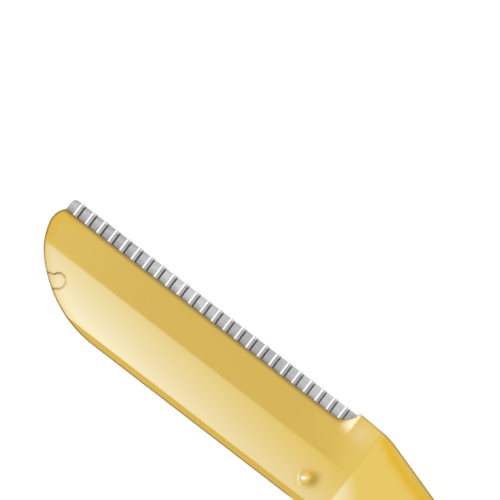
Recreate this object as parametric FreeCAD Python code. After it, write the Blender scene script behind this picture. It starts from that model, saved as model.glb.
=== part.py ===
"""Eyebrow razor: a two-shell plastic handle that clamps a straight blade with guard bars over its edge.

All lengths are millimetres. The model is drawn in the head's own axes: x runs along the blade from
its free end towards the handle, y points from the spine to the cutting edge with zero on the plastic
lip, and z is zero on the plane where the two shells meet. The finished pieces are then moved so that
the origin is under the middle of the razor, on the surface that it lies on.
"""

import FreeCAD
import Part

import math
import os

from FreeCAD import Vector

# Head, as seen from its flat side
window_length = 32.12        # exposed length of the blade, along the lip
blade_exposure = 1.25        # cutting edge above the lip
head_depth = 8.22            # lip to spine
bevel_width = 3.36           # sloping band beside the lip
shoulder_rise = 1.55         # shoulder above the lip, a little above the cutting edge
shoulder_drop = 0.1          # fall of the shoulder's top from its edge to the crease
shoulder_land = 0.11         # top of the window's round corner to the shoulder's sharp edge
neck_length = 2.45           # shoulder's edge to the crease where the handle starts
window_corner_sweep = 79.4   # degrees that the window's round corner turns

# Head, across its thickness
head_thickness = 2.6
lip_thickness = 1.1
lip_round_width = 0.42       # rounding of the lip, on the sloping band
lip_round_drop = 0.32        # the same on the lip's wall
spine_chamfer_width = 0.65
spine_chamfer_drop = 0.62
edge_break = 0.1

# Run-out of the sloping band into the neck
wall_length = 0.93           # steep wall in front of the shoulder
fade_length = 2.4            # gentle rise in front of that wall
wall_foot_share = 0.06       # share of the missing thickness regained at the wall's foot
wall_head_share = 0.73       # the same at the shoulder's edge

# Nose of the head: three tangent arcs, the last one meeting the spine
tip_radius = 1.8
tip_start_angle = -44.7      # degrees; zero is where the nose reaches furthest
tip_end_angle = 13.6
flank_radius = 6.44
flank_end_angle = 44.6

# Recess at the nose and snap nubs for a cover
recess_radius = 0.73
recess_depth = 0.2
recess_lip_radius = 0.45
recess_from_free_end = 3.36
recess_below_lip = 5.51
recess_direction = 217.6     # degrees from +x, pointing out of the recess
nub_radius = 1.15            # at its foot
nub_height = 0.46
nub_hollow_radius = 0.6      # hollow round that leads into the nub
nub_before_crease = 2.8
nub_below_lip = 5.74

# Handle
handle_length = 107.0        # along x, crease to tail
neck_bend_top = 1.7          # stretch over which the edge-side outline bends
neck_bend_spine = 14.0       # the same on the spine side
handle_angle = 16.4          # degrees that the handle drops behind the neck
tail_angle = 8.0             # degrees that it still drops at the tail
grip_thickness = 4.7
thickening_length = 18.0     # crease to full thickness
palm_swell = 1.1             # extra width where the hand closes on the handle
palm_start = 22.0
palm_end = 104.0
tail_taper_length = 34.0
tail_width_share = 0.66      # width left at the tail, before it rounds off
tail_thickness = 3.1
tail_round_length = 4.2
tail_blunt_share = 0.24      # width left at the very end
grip_round = 1.35            # rounding of the handle's long edges
grip_round_length = 18.0     # stretch over which the rounding grows from the neck
round_limit_share = 0.8      # most that a rounding takes of the half width or half thickness
handle_section_count = 22

# Inside of the handle
wall = 1.1
cavity_corner = 0.5          # bevel of the hollow's long corners
cavity_section_count = 9
cavity_start = 11.0          # crease to the front end of the hollow
cavity_end = 9.0             # rear end of the hollow to the tail
rib_count = 5
rib_thickness = 0.9
pin_radius = 0.8
pin_height = 0.9
boss_radius = 1.7
boss_shares = (0.08, 0.92)   # places of the locating pins along the hollow
pin_clearance = 0.04
socket_end_clearance = 0.1

# Blade
blade_thickness = 0.2
blade_depth = 4.65           # back of the blade to its cutting edge
blade_tail = 1.1             # blade hidden behind the window
blade_corner_radius = 0.45
blade_heel_cut = 1.6         # cut-off corner at the free end, inside the nose
grind_height = 0.3
edge_thickness = 0.03
blade_fit = 0.01             # clearance on each side of the blade

# Blade anchors: pins on the back shell that go through the blade
anchor_shares = (0.2, 0.8)   # places of the anchor pins along the window
anchor_above_blade_back = 1.1
anchor_radius = 0.6
anchor_hole_clearance = 0.05
anchor_reach = 0.5           # pin beyond the blade's face

# Guard bars that wrap the cutting edge
guard_count = 24
guard_first = 1.09           # free end of the blade to the first bar
guard_last = 1.17            # last bar to the end of the window
guard_base_width = 0.54
guard_top_width = 0.22
guard_side_thickness = 0.17
guard_foot_thickness = 0.02
guard_over_edge = 0.08
guard_leg = 0.9              # bar below the lip
guard_fit = 0.02

overrun = 1.0                # how far cutting tools run past what they cut

half_head = head_thickness / 2
half_lip = lip_thickness / 2
half_grip = grip_thickness / 2
half_blade = blade_thickness / 2
shoulder_x = window_length + shoulder_land
neck_x = shoulder_x + neck_length
tail_x = neck_x + handle_length
blade_back = blade_exposure - blade_depth
guard_half = half_blade + blade_fit + guard_side_thickness


def polar(radius, degrees):
    """Vector of that length at that angle in the plan."""
    angle = math.radians(degrees)
    return Vector(radius * math.cos(angle), radius * math.sin(angle), 0)


def smooth_rise(value):
    """0 before 0, 1 after 1, and a half cosine wave between them."""
    return (1 - math.cos(math.pi * min(max(value, 0.0), 1.0))) / 2


def line(start, end):
    return Part.LineSegment(start, end).toShape()


def arc(start, middle, end):
    return Part.Arc(start, middle, end).toShape()


def block(low, high):
    """Box between two corners."""
    size = high - low
    return Part.makeBox(size.x, size.y, size.z, low)


def half_space(side):
    """Block that holds everything on one side of the plane where the shells meet: side is 1 or -1."""
    reach = handle_length + head_depth
    low = Vector(-reach, -reach, 0 if side > 0 else -reach)
    high = Vector(tail_x + reach, reach, reach if side > 0 else 0)
    return block(low, high)


def prism(wire, low, high):
    """Solid that stands on a flat wire of the plan, between two heights."""
    face = Part.Face(wire)
    face.translate(Vector(0, 0, low))
    return face.extrude(Vector(0, 0, high - low))


def tangent_arc(start, radius, first, last):
    """Arc of the nose from start, between two angles of its outward normal: (edge, end)."""
    centre = start + polar(radius, first)
    end = centre - polar(radius, last)
    return arc(start, centre - polar(radius, (first + last) / 2), end), end


def nose_arcs():
    """The nose as three tangent arcs from the lip's free end down to the spine, and the last point."""
    tip, tip_end = tangent_arc(Vector(0, 0, 0), tip_radius, tip_start_angle, tip_end_angle)
    flank, flank_end = tangent_arc(tip_end, flank_radius, tip_end_angle, flank_end_angle)
    heel_radius = (flank_end.y + head_depth) / (1 - math.sin(math.radians(flank_end_angle)))
    heel, heel_end = tangent_arc(flank_end, heel_radius, flank_end_angle, 90.0)
    return [tip, flank, heel], heel_end


def head_outline():
    """Closed outline of the head in plan: nose, spine, crease, shoulder, window corner and lip."""
    edges, heel = nose_arcs()
    sweep = math.radians(window_corner_sweep)
    corner_radius = shoulder_rise / (1 - math.cos(sweep))
    corner_start_x = window_length - corner_radius * math.sin(sweep)
    centre = Vector(corner_start_x, corner_radius, 0)
    spine_end = Vector(neck_x, -head_depth, 0)
    crease_top = Vector(neck_x, shoulder_rise, 0)
    corner_top = Vector(window_length, shoulder_rise, 0)
    corner_middle = centre + polar(corner_radius, window_corner_sweep / 2 - 90.0)
    corner_start = Vector(corner_start_x, 0, 0)
    edges += [
        line(heel, spine_end),
        line(spine_end, crease_top),
        line(crease_top, corner_top),
        arc(corner_top, corner_middle, corner_start),
        line(corner_start, Vector(0, 0, 0)),
    ]
    return Part.Wire(edges)


def lip_round(top, top_half, lip_drop):
    """Points of the rounded lip in a section, from its wall to the sloping band, as (y, half height)."""
    slope = (half_head - top_half) / (top - edge_break + bevel_width)
    bulge = 1 - math.sqrt(0.5)
    spots = [(0, lip_drop), (bulge * lip_round_width, bulge * lip_drop), (lip_round_width, 0)]
    return [(-inward, half_head - slope * (bevel_width - inward) - drop) for inward, drop in spots]


def head_section(x, top, top_half, lip_drop):
    """Cross-section of the head at x: the sloping band ends at top_half beside the section's top."""
    spine_land = half_head - spine_chamfer_drop
    front = [
        (top, top_half - edge_break),
        (top - edge_break, top_half),
        *lip_round(top, top_half, lip_drop),
        (-bevel_width, half_head),
        (spine_chamfer_width - head_depth, half_head),
        (-head_depth, spine_land),
    ]
    points = front + [(y, -z) for y, z in reversed(front)]
    corners = [Vector(x, y, z) for y, z in points]
    return Part.makePolygon(corners + corners[:1])


def head_block():
    """Head as ruled sections: the sloping band, its gentle rise, the steep wall and the shoulder."""
    slope = (half_head - half_lip) / bevel_width
    on_band = half_lip - slope * shoulder_rise
    missing = half_head - on_band
    wall_foot_x = shoulder_x - wall_length
    stations = [
        (-tip_radius - overrun, shoulder_rise, on_band, lip_round_drop),
        (wall_foot_x - fade_length, shoulder_rise, on_band, lip_round_drop),
        (wall_foot_x, shoulder_rise, on_band + wall_foot_share * missing, 0),
        (shoulder_x, shoulder_rise, on_band + wall_head_share * missing, 0),
        (neck_x, shoulder_rise - shoulder_drop, half_head, 0),
    ]
    sections = [head_section(*station) for station in stations]
    body = Part.makeLoft(sections, True, True)
    return body.common(prism(head_outline(), -head_thickness, head_thickness))


def bend_drop(along, bend, first):
    """Drop of a handle edge: it bends from a first slope, then eases towards the tail's angle."""
    steep = math.tan(math.radians(handle_angle))
    gentle = math.tan(math.radians(tail_angle))
    bent = min(along, bend)
    eased = max(along - neck_bend_spine, 0.0)
    drop = first * bent + (steep - first) * bent * bent / (2 * bend) + steep * (along - bent)
    return drop - (steep - gentle) * eased * eased / (2 * (handle_length - neck_bend_spine))


def tail_round(along):
    """Share of its width that the handle keeps where the tail rounds off, as an ellipse."""
    into = (along - handle_length + tail_round_length) / tail_round_length
    end_cosine = math.sqrt(1 - tail_blunt_share ** 2)
    return math.sqrt(1 - (end_cosine * min(max(into, 0.0), 1.0)) ** 2)


def handle_edges(along):
    """Edge-side and spine-side places of the handle's outline, a given way behind the crease."""
    top = shoulder_rise - shoulder_drop - bend_drop(along, neck_bend_top, shoulder_drop / neck_length)
    bottom = -head_depth - bend_drop(along, neck_bend_spine, 0)
    swell = math.sin(math.pi * min(max((along - palm_start) / (palm_end - palm_start), 0.0), 1.0))
    taper = smooth_rise((along - handle_length + tail_taper_length) / tail_taper_length)
    width = (top - bottom + palm_swell * swell ** 2) * (1 - (1 - tail_width_share) * taper)
    width *= tail_round(along)
    middle = (top + bottom) / 2
    return middle + width / 2, middle - width / 2


def handle_half_thickness(along):
    """Half the handle's thickness: a slope from the crease, a flat grip, and a taper to the tail."""
    rise = math.sin(math.pi / 2 * min(along / thickening_length, 1.0))
    taper = smooth_rise((along - handle_length + tail_taper_length) / tail_taper_length)
    half = half_head + (half_grip - half_head) * rise
    return (half - (half_grip - tail_thickness / 2) * taper) * math.sqrt(tail_round(along))


def corner(x, wall_y, inward, half, across, down, straight):
    """One rounded corner of a handle section, from the side wall to the flat: (start, edge, end)."""
    start = Vector(x, wall_y, half - math.copysign(down, half))
    end = Vector(x, wall_y + inward * across, half)
    if straight:
        return start, line(start, end), end
    bulge = 1 - math.sqrt(0.5)
    middle = Vector(x, wall_y + inward * across * bulge, half - math.copysign(down * bulge, half))
    return start, arc(start, middle, end), end


def rounded_section(x, top, bottom, half, top_round, spine_round, straight=False):
    """Closed handle section in the plane x: each round is (across the flat, down the wall)."""
    spots = [
        (top, -1, half, top_round),
        (bottom, 1, half, spine_round),
        (bottom, 1, -half, spine_round),
        (top, -1, -half, top_round),
    ]
    edges = []
    first_point = last_point = None
    for number, (wall_y, inward, level, (across, down)) in enumerate(spots):
        start, edge, end = corner(x, wall_y, inward, level, across, down, straight)
        if number % 2:
            start, end = end, start
        edges += [line(last_point, start)] if last_point else []
        edges.append(edge)
        first_point = first_point or start
        last_point = end
    edges.append(line(last_point, first_point))
    return Part.Wire(Part.sortEdges(edges)[0])


def stations(count, first, last):
    """Distances from first to last, closer together at both ends."""
    return [first + (last - first) * smooth_rise(i / (count - 1)) for i in range(count)]


def with_true_planes(solid):
    """The same solid, with each four-sided ruled face that is flat made as a plane."""
    faces = []
    for face in solid.Faces:
        if face.findPlane() and len(face.Edges) == 4:
            corners = [vertex.Point for vertex in face.OuterWire.OrderedVertexes]
            face = Part.Face(Part.makePolygon(corners + corners[:1]))
        faces.append(face)
    skin = Part.makeCompound(faces)
    skin.sewShape()
    return Part.Solid(skin.Shells[0])


def handle_block():
    """Handle as a loft of ruled stretches from the crease to the tail, flat on both sides of the grip."""
    sections = []
    for along in stations(handle_section_count, 0.0, handle_length):
        top, bottom = handle_edges(along)
        half = handle_half_thickness(along)
        growth = smooth_rise(along / grip_round_length)
        limit = round_limit_share * min(half, (top - bottom) / 2)
        top_round = min(edge_break + (grip_round - edge_break) * growth, limit)
        across = min(spine_chamfer_width + (grip_round - spine_chamfer_width) * growth, limit)
        down = min(spine_chamfer_drop + (grip_round - spine_chamfer_drop) * growth, limit)
        sections.append(rounded_section(
            neck_x + along, top, bottom, half, (top_round, top_round), (across, down), along == 0))
    return with_true_planes(Part.makeLoft(sections, True, True))


def cavity():
    """Hollow of the handle, one wall inside its outside, divided by cross ribs and pin bosses."""
    sections = []
    for along in stations(cavity_section_count, cavity_start, handle_length - cavity_end):
        top, bottom = handle_edges(along)
        half = handle_half_thickness(along) - wall
        bevel = min(cavity_corner, half / 2)
        sections.append(rounded_section(
            neck_x + along, top - wall, bottom + wall, half, (bevel, bevel), (bevel, bevel), True))
    hollow = Part.makeLoft(sections, True, True)
    reach = head_depth + handle_length
    kept = [Part.makeCylinder(boss_radius, grip_thickness, Vector(x, y, -half_grip)) for x, y in boss_places()]
    hollow_length = handle_length - cavity_end - cavity_start
    for number in range(rib_count):
        x = neck_x + cavity_start + hollow_length * (number + 1) / (rib_count + 1)
        kept.append(block(
            Vector(x - rib_thickness / 2, -reach, -grip_thickness),
            Vector(x + rib_thickness / 2, reach, grip_thickness)))
    return hollow.cut(kept)


def boss_places():
    """Plan places of the locating pins, on the handle's middle line."""
    hollow_length = handle_length - cavity_end - cavity_start
    places = []
    for share in boss_shares:
        along = cavity_start + hollow_length * share
        top, bottom = handle_edges(along)
        places.append((neck_x + along, (top + bottom) / 2))
    return places


def anchor_places():
    """Plan places of the pins that hold the blade."""
    y = blade_back + anchor_above_blade_back
    return [(window_length * share, y) for share in anchor_shares]


def nub(side):
    """Snap nub: a dome that runs out into the head's flat face through a tangent hollow round."""
    slope = 2 * math.atan(nub_height / nub_radius)
    dome_radius = nub_radius / math.sin(slope) - nub_hollow_radius
    dome_centre = Vector(0, 0, nub_height - dome_radius)
    hollow_centre = Vector(nub_radius, 0, nub_hollow_radius)

    def outward(radius, angle):
        return Vector(radius * math.sin(angle), 0, radius * math.cos(angle))

    top = Vector(0, 0, nub_height)
    dome_end = dome_centre + outward(dome_radius, slope)
    base_end = Vector(nub_radius, 0, 0)
    root = Vector(nub_radius, 0, -nub_height)
    axis_root = Vector(0, 0, -nub_height)
    profile = Part.Wire([
        arc(top, dome_centre + outward(dome_radius, slope / 2), dome_end),
        arc(dome_end, hollow_centre - outward(nub_hollow_radius, slope / 2), base_end),
        line(base_end, root),
        line(root, axis_root),
        line(axis_root, top),
    ])
    solid = Part.Face(profile).revolve(Vector(0, 0, 0), Vector(0, 0, 1), 360.0)
    if side < 0:
        solid.rotate(Vector(0, 0, 0), Vector(1, 0, 0), 180.0)
    solid.translate(Vector(neck_x - nub_before_crease, -nub_below_lip, side * half_head))
    return solid


def nose_recess():
    """Small round-ended recess in the front face that opens through the nose, with one rounded lip."""
    mouth = recess_from_free_end + recess_radius + overrun
    lip_x = recess_radius
    lip_end = Vector(lip_x + recess_lip_radius, -recess_radius - recess_lip_radius, 0)
    lip_start = Vector(lip_x, -recess_radius, 0)
    lip_middle = Vector(lip_x, -recess_radius - recess_lip_radius, 0) + polar(recess_lip_radius, 45.0)
    far_lip = Vector(mouth, lip_end.y, 0)
    far_plain = Vector(mouth, recess_radius, 0)
    plain_start = Vector(0, recess_radius, 0)
    round_start = Vector(0, -recess_radius, 0)
    wire = Part.Wire([
        arc(plain_start, Vector(-recess_radius, 0, 0), round_start),
        line(round_start, lip_start),
        arc(lip_start, lip_middle, lip_end),
        line(lip_end, far_lip),
        line(far_lip, far_plain),
        line(far_plain, plain_start),
    ])
    tool = prism(wire, half_head - recess_depth, head_thickness)
    tool.rotate(Vector(0, 0, 0), Vector(0, 0, 1), recess_direction)
    tool.translate(Vector(recess_from_free_end, -recess_below_lip, 0))
    return tool


def blade_heel(clearance):
    """Corner that is cut off at the blade's back, beside its free end, less a clearance."""
    cut = blade_heel_cut - math.sqrt(2) * clearance
    low = Vector(-overrun, blade_back - overrun, 0)
    across = Vector(cut + overrun, low.y, 0)
    up = Vector(low.x, blade_back + cut + overrun, 0)
    return prism(Part.makePolygon([low, across, up, low]), -blade_thickness, blade_thickness)


def blade_blank(clearance):
    """Flat blank of the blade, grown by a clearance, without its ground edge and holes."""
    low = Vector(-clearance, blade_back - clearance, -half_blade - clearance)
    high = Vector(window_length + blade_tail + clearance, blade_exposure + clearance, half_blade + clearance)
    return block(low, high).cut(blade_heel(clearance))


def blade_strip(first_x, last_x, clearance, back):
    """Length of the blade's ground section, thickened by a clearance on each side, from back to edge."""
    flat_half = half_blade + clearance
    edge_half = edge_thickness / 2 + clearance
    grind_start = blade_exposure - grind_height
    side = [(back, flat_half), (grind_start, flat_half), (blade_exposure, edge_half)]
    section = side + [(y, -z) for y, z in reversed(side)]
    corners = [Vector(first_x, y, z) for y, z in section]
    return Part.Face(Part.makePolygon(corners + corners[:1])).extrude(Vector(last_x - first_x, 0, 0))


def blade():
    """Blade: a steel strip with two cut free corners, a ground edge and holes for its anchor pins."""
    strip = blade_strip(0, window_length + blade_tail, 0, blade_back)
    centre = Vector(blade_corner_radius, blade_exposure - blade_corner_radius, -blade_thickness)
    square = block(
        Vector(-overrun, centre.y, -blade_thickness),
        Vector(centre.x, blade_exposure + overrun, blade_thickness))
    waste = square.cut(Part.makeCylinder(blade_corner_radius, 2 * blade_thickness, centre))
    holes = [
        Part.makeCylinder(
            anchor_radius + anchor_hole_clearance, 2 * blade_thickness, Vector(x, y, -blade_thickness))
        for x, y in anchor_places()
    ]
    return strip.cut([waste, blade_heel(0)] + holes)


def guard_profile(x, thickness):
    """Section of a guard bar's outside in the plane x: two legs and a round top over the edge."""
    half = half_blade + blade_fit + thickness
    top = blade_exposure + guard_over_edge - (guard_side_thickness - thickness) / 2
    shoulder = top - half
    foot_left = Vector(x, -guard_leg, half)
    foot_right = Vector(x, -guard_leg, -half)
    side_left = Vector(x, shoulder, half)
    side_right = Vector(x, shoulder, -half)
    return Part.Wire([
        line(foot_left, side_left),
        arc(side_left, Vector(x, top, 0), side_right),
        line(side_right, foot_right),
        line(foot_right, foot_left),
    ])


def guard_places():
    """Middles of the guard bars along the blade."""
    pitch = (window_length - guard_first - guard_last) / (guard_count - 1)
    return [guard_first + pitch * number for number in range(guard_count)]


def guard_bar(x):
    """Guard bar: a hairpin with sloping flanks, pressed over the blade's edge."""
    base, top = guard_base_width / 2, guard_top_width / 2
    outside = Part.makeLoft([
        guard_profile(x - base, guard_foot_thickness),
        guard_profile(x - top, guard_side_thickness),
        guard_profile(x + top, guard_side_thickness),
        guard_profile(x + base, guard_foot_thickness),
    ], True, True)
    slot = blade_strip(x - guard_base_width, x + guard_base_width, blade_fit, -guard_leg - overrun)
    return outside.cut(slot)


def guard_notches():
    """Notches in the lips for the legs of the guard bars."""
    half = guard_half + guard_fit
    width = guard_base_width / 2 + guard_fit
    return [
        block(
            Vector(x - width, -guard_leg - guard_fit, -half),
            Vector(x + width, blade_exposure, half))
        for x in guard_places()
    ]


def shells():
    """Front and back shells: the outside split at the middle, then hollowed and fitted to each other."""
    outside = head_block().fuse(handle_block())
    inside = cavity()
    blade_slot = [blade_blank(blade_fit)] + guard_notches()
    halves = []
    for side in (1, -1):
        half = outside.common(half_space(side)).cut(inside)
        halves.append(half.fuse(nub(side)).cut(blade_slot))
    front, back = halves
    pins, sockets = [], [nose_recess()]
    for x, y in boss_places():
        pins.append(Part.makeCylinder(pin_radius, wall + pin_height, Vector(x, y, -wall)))
        sockets.append(Part.makeCylinder(
            pin_radius + pin_clearance, pin_height + socket_end_clearance, Vector(x, y, 0)))
    reach = half_blade + anchor_reach
    for x, y in anchor_places():
        pins.append(Part.makeCylinder(anchor_radius, 2 * reach, Vector(x, y, -reach)))
        sockets.append(Part.makeCylinder(
            anchor_radius + pin_clearance, reach + socket_end_clearance, Vector(x, y, 0)))
    return front.cut(sockets), back.fuse(pins)


def one_solid(shape):
    """The single solid in a shape, with seams between faces of one surface removed."""
    cleaned = shape.removeSplitter()
    if len(cleaned.Solids) != 1 or not cleaned.isValid():
        raise ValueError("a piece came out as %d solids" % len(cleaned.Solids))
    return cleaned.Solids[0]


def pieces():
    """Every piece by name, in the head's own axes."""
    front, back = shells()
    made = {"front_shell": one_solid(front), "back_shell": one_solid(back), "blade": one_solid(blade())}
    for number, x in enumerate(guard_places(), 1):
        made["guard_bar_%02d" % number] = one_solid(guard_bar(x))
    return made


def main():
    made = pieces()
    box = Part.makeCompound(list(made.values())).optimalBoundingBox()
    to_origin = Vector(-box.Center.x, -box.Center.y, -box.ZMin)
    os.makedirs("parts", exist_ok=True)
    for name, solid in made.items():
        solid.translate(to_origin)
        solid.exportStep("parts/%s.step" % name)
    print("size", [round(v, 3) for v in (box.XLength, box.YLength, box.ZLength)])
    print("moved by", [round(v, 4) for v in to_origin])
    print("volume of the shells", [round(made[n].Volume, 1) for n in ("front_shell", "back_shell")])


main()
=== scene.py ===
"""Looks of the eyebrow razor: its two moulded shells, its blade and the guard bars over the blade's edge.

Shapes are worked out in the head's own axes, in metres: x runs along the blade from its free end to the
handle, y points from the spine to the cutting edge with zero on the plastic lip, and z is zero where the
two shells meet. head_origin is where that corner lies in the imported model.
"""

import math

import bmesh
import bpy
import numpy as np
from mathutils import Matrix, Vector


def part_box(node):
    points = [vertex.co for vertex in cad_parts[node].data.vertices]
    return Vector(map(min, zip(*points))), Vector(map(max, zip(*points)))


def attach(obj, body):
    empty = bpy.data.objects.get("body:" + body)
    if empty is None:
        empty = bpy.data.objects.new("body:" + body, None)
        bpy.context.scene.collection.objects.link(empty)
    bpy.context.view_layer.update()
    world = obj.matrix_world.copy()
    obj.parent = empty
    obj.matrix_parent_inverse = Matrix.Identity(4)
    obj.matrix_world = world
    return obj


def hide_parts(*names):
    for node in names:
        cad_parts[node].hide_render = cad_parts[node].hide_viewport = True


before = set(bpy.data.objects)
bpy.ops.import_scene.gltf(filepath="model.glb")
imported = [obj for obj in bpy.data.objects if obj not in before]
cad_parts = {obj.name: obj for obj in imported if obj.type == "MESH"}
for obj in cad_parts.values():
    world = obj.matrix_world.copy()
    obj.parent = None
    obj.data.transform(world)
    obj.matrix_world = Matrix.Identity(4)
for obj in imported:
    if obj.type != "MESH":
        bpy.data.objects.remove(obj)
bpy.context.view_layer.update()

bl_info = {
    "name": "Eyebrow Razor",
    "version": (1, 0, 0),
    "blender": (4, 5, 0),
    "location": "View3D > Sidebar > Razor",
    "description": "Builds the visible surfaces, finishes and stage of an eyebrow razor",
    "category": "Mesh",
}

blade_low, blade_high = (np.array(corner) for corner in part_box("blade"))
half_blade = (blade_high[2] - blade_low[2]) / 2
blade_shown = 0.00125  # lip to cutting edge
head_origin = np.array((blade_low[0], blade_high[1] - blade_shown, blade_low[2] + half_blade))
bar_names = sorted(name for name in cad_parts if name.startswith("guard_bar"))

# Tints of painted light and shade, in this order: lighter lit plastic, warm shade, highlight and dark shade.
tint_names = ("grip", "warm_shade", "painted_highlight", "line")
wall_tints = (1.0, 0.5, 0.25, 0.0)  # share of each tint that the upright walls keep
seam_columns = (0, 1, -5, -4, -3, -2, -1)  # points of a shell's loop on the seam and the blade's pocket

far = 1.0  # distance to an edge that isn't beside a point
smallest = 1e-6  # length that a distance is divided by at the least
least_share = 0.001  # share of the bevel's softness that is kept at the least
seam_gap = 1e-7  # points closer than this are merged

# Section of a guard bar: share of the half width, share of the thickness, and the painted shade on the steel
# there.
bar_profile = np.array((
    (-1.17, 0.0, 0.0), (-1.16, 0.33, 0.0), (-1.14, 0.36, 0.0), (-0.42, 0.98, 0.0), (-0.40, 0.91, 1.0),
    (-0.27, 0.91, 1.0), (-0.25, 1.0, 0.0), (0.26, 1.0, 0.0), (0.29, 0.92, 0.8), (0.40, 0.92, 0.8),
    (0.43, 1.0, 0.0), (0.55, 0.97, 0.1), (0.61, 0.90, 1.0), (0.98, 0.10, 1.0), (1.0, 0.0, 1.0)))

# Rings of painted shade and painted highlight on the snap nub: share, radius, reach, and the bearing that
# they face, in degrees, or None for all round.
nub_rings = {
    "warm_shade": ((0.45, 0.00055, 0.0003, None), (0.5, 0.0004, 0.0003, 50)),
    "painted_highlight": ((0.2, 0.00075, 0.0003, -37),),
    "line": ((0.32, 0.00075, 0.0003, 196), (0.22, 0.0004, 0.00025, 115)),
}


def number(name, description, default, **kind):
    """Property for a number from zero up."""
    return bpy.props.FloatProperty(name=name, description=description, default=default, min=0.0, **kind)


def length(name, description, default):
    """Property for a length in metres."""
    return number(name, description, default, unit="LENGTH", precision=5)


def share(name, description, default):
    """Property for a share between 0 and 1."""
    return number(name, description, default, max=1.0, subtype="FACTOR")


def count(name, description, default):
    """Property for a number of points."""
    return bpy.props.IntProperty(name=name, description=description, default=default, min=2)


def angle(name, description, degrees):
    """Property for an angle, given in degrees."""
    return bpy.props.FloatProperty(
        name=name, description=description, default=math.radians(degrees), subtype="ANGLE")


def linear(red, green, blue):
    """Linear colour of an sRGB colour given in steps of 255."""
    channels = np.array((red, green, blue)) / 255
    return tuple(np.where(channels <= 0.04045, channels / 12.92, ((channels + 0.055) / 1.055) ** 2.4))


def colour(name, description, *srgb):
    """Property for a colour, given in sRGB steps of 255."""
    return bpy.props.FloatVectorProperty(
        name=name, description=description, default=linear(*srgb), size=3, min=0.0, max=1.0, subtype="COLOR")


class HeadSizes(bpy.types.PropertyGroup):
    """Sizes of the head, which holds the blade."""

    window_length: length("Window length", "Blade shown along the lip", 0.03212)
    head_depth: length("Depth", "Lip to spine", 0.00822)
    half_head: length("Half thickness", "Middle plane to the flat face", 0.0013)
    half_lip: length("Half lip", "Middle plane to the lip's face", 0.00055)
    bevel_width: length("Bevel width", "Sloping band beside the lip", 0.00336)
    bevel_soft: length("Bevel softness", "Rounding where the bevel meets the flat", 0.00003)
    bevel_fade: length("Bevel fade", "Stretch before the crease over which that rounding ends", 0.001)
    crown_drop: length("Crown", "Fall of the face from the bevel to the spine", 0.0002)
    crown_runoff: number("Crown run-off", "Slope at which the crown's line leaves the crease", 1.33)
    nose_fall: length("Nose fall", "Fall of the face towards the nose", 0.0001)
    nose_fall_length: length("Nose fall length", "Stretch over which the face falls to the nose", 0.016)
    shoulder_rise: length("Shoulder rise", "Shoulder above the lip", 0.00155)
    shoulder_drop: length("Shoulder drop", "Fall of the shoulder's top to the crease", 0.0001)
    shoulder_land: length("Shoulder land", "Window's corner to the shoulder's edge", 0.00011)
    neck_length: length("Neck length", "Shoulder's edge to the crease", 0.00245)
    wall_length: length("Wall length", "Steep wall in front of the shoulder", 0.00093)
    wall_foot: share("Wall foot", "Share of the rise at the wall's foot", 0.06)
    wall_top: share("Wall top", "Share of the rise at the shoulder's edge", 0.73)
    wall_round: length("Wall round", "Rounding of the wall's foot and top", 0.00008)
    wall_low: length("Wall low end", "Lip to the wall's low end", 0.0016)
    wall_fade: length("Wall fade", "Stretch over which the wall grows from its low end", 0.0024)
    fade_length: length("Fade length", "Gentle rise in front of the wall", 0.0024)
    ramp_round: length("Ramp round", "Rounding of the gentle rise below the wall", 0.0012)
    corner_sweep: angle("Corner sweep", "Turn of the window's round corner", 79.4)
    corner_lead: length("Corner lead", "Start of the lip's thinner round to the window's end", 0.00362)
    corner_change: length("Corner change", "Stretch over which the lip's round gets thinner", 0.002)
    spine_across: length("Spine chamfer", "Chamfer's width on the flat face", 0.00065)
    spine_down: length("Spine chamfer drop", "Chamfer's height on the spine", 0.00062)
    lip_across: length("Lip round", "Rounding of the lip on its face", 0.00042)
    lip_down: length("Lip round drop", "Rounding of the lip on its wall", 0.00032)
    nose_across: length("Nose round", "Rounding of the nose on its face", 0.00014)
    nose_down: length("Nose round drop", "Rounding of the nose on its wall", 0.0001)
    edge_break: length("Edge break", "Rounding of the sharp edges", 0.0001)
    tip_radius: length("Tip radius", "First arc of the nose", 0.0018)
    tip_start: angle("Tip start", "Direction in which the first arc starts", -44.7)
    tip_end: angle("Tip end", "Direction in which the first arc ends", 13.6)
    flank_radius: length("Flank radius", "Second arc of the nose", 0.00644)
    flank_end: angle("Flank end", "Direction in which the second arc ends", 44.6)
    recess_radius: length("Recess radius", "Round end of the recess at the nose", 0.00073)
    recess_lip: length("Recess lip", "Rounding of the recess's mouth", 0.00045)
    recess_depth: length("Recess depth", "Recess below the face", 0.0002)
    recess_soft: length("Recess softness", "Width of the step into the recess", 0.00009)
    recess_x: length("Recess place along", "Free end to the recess", 0.00336)
    recess_y: length("Recess place below", "Lip to the recess", 0.00551)
    recess_turn: angle("Recess turn", "Direction in which the recess opens", 217.6)
    waist_depth: length("Waist depth", "How far the recess's upper side bends in", 0.00014)
    waist_place: length("Waist place", "Middle of the recess's round end to that bend", 0.00034)
    waist_reach: length("Waist reach", "How far that bend spreads", 0.0003)
    nub_radius: length("Nub radius", "Foot of the snap nub", 0.0013)
    nub_height: length("Nub height", "Snap nub above the face", 0.00046)
    nub_before_crease: length("Nub place along", "Nub to the crease", 0.0028)
    nub_below_lip: length("Nub place below", "Lip to the nub", 0.00574)
    seam_bevel: length("Seam bevel", "Bevel of the line where the shells meet", 0.00006)
    seam_limit: share("Seam limit", "Share of a thin wall that the seam's bevel may take", 0.3)
    half_pocket: length("Half pocket", "Middle plane to the face of the blade's pocket", 0.00011)
    pocket_length: length("Pocket length", "Blade's pocket behind the window's end", 0.0011)
    pocket_fit: length("Pocket fit", "Clearance behind the blade", 0.00001)


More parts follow.
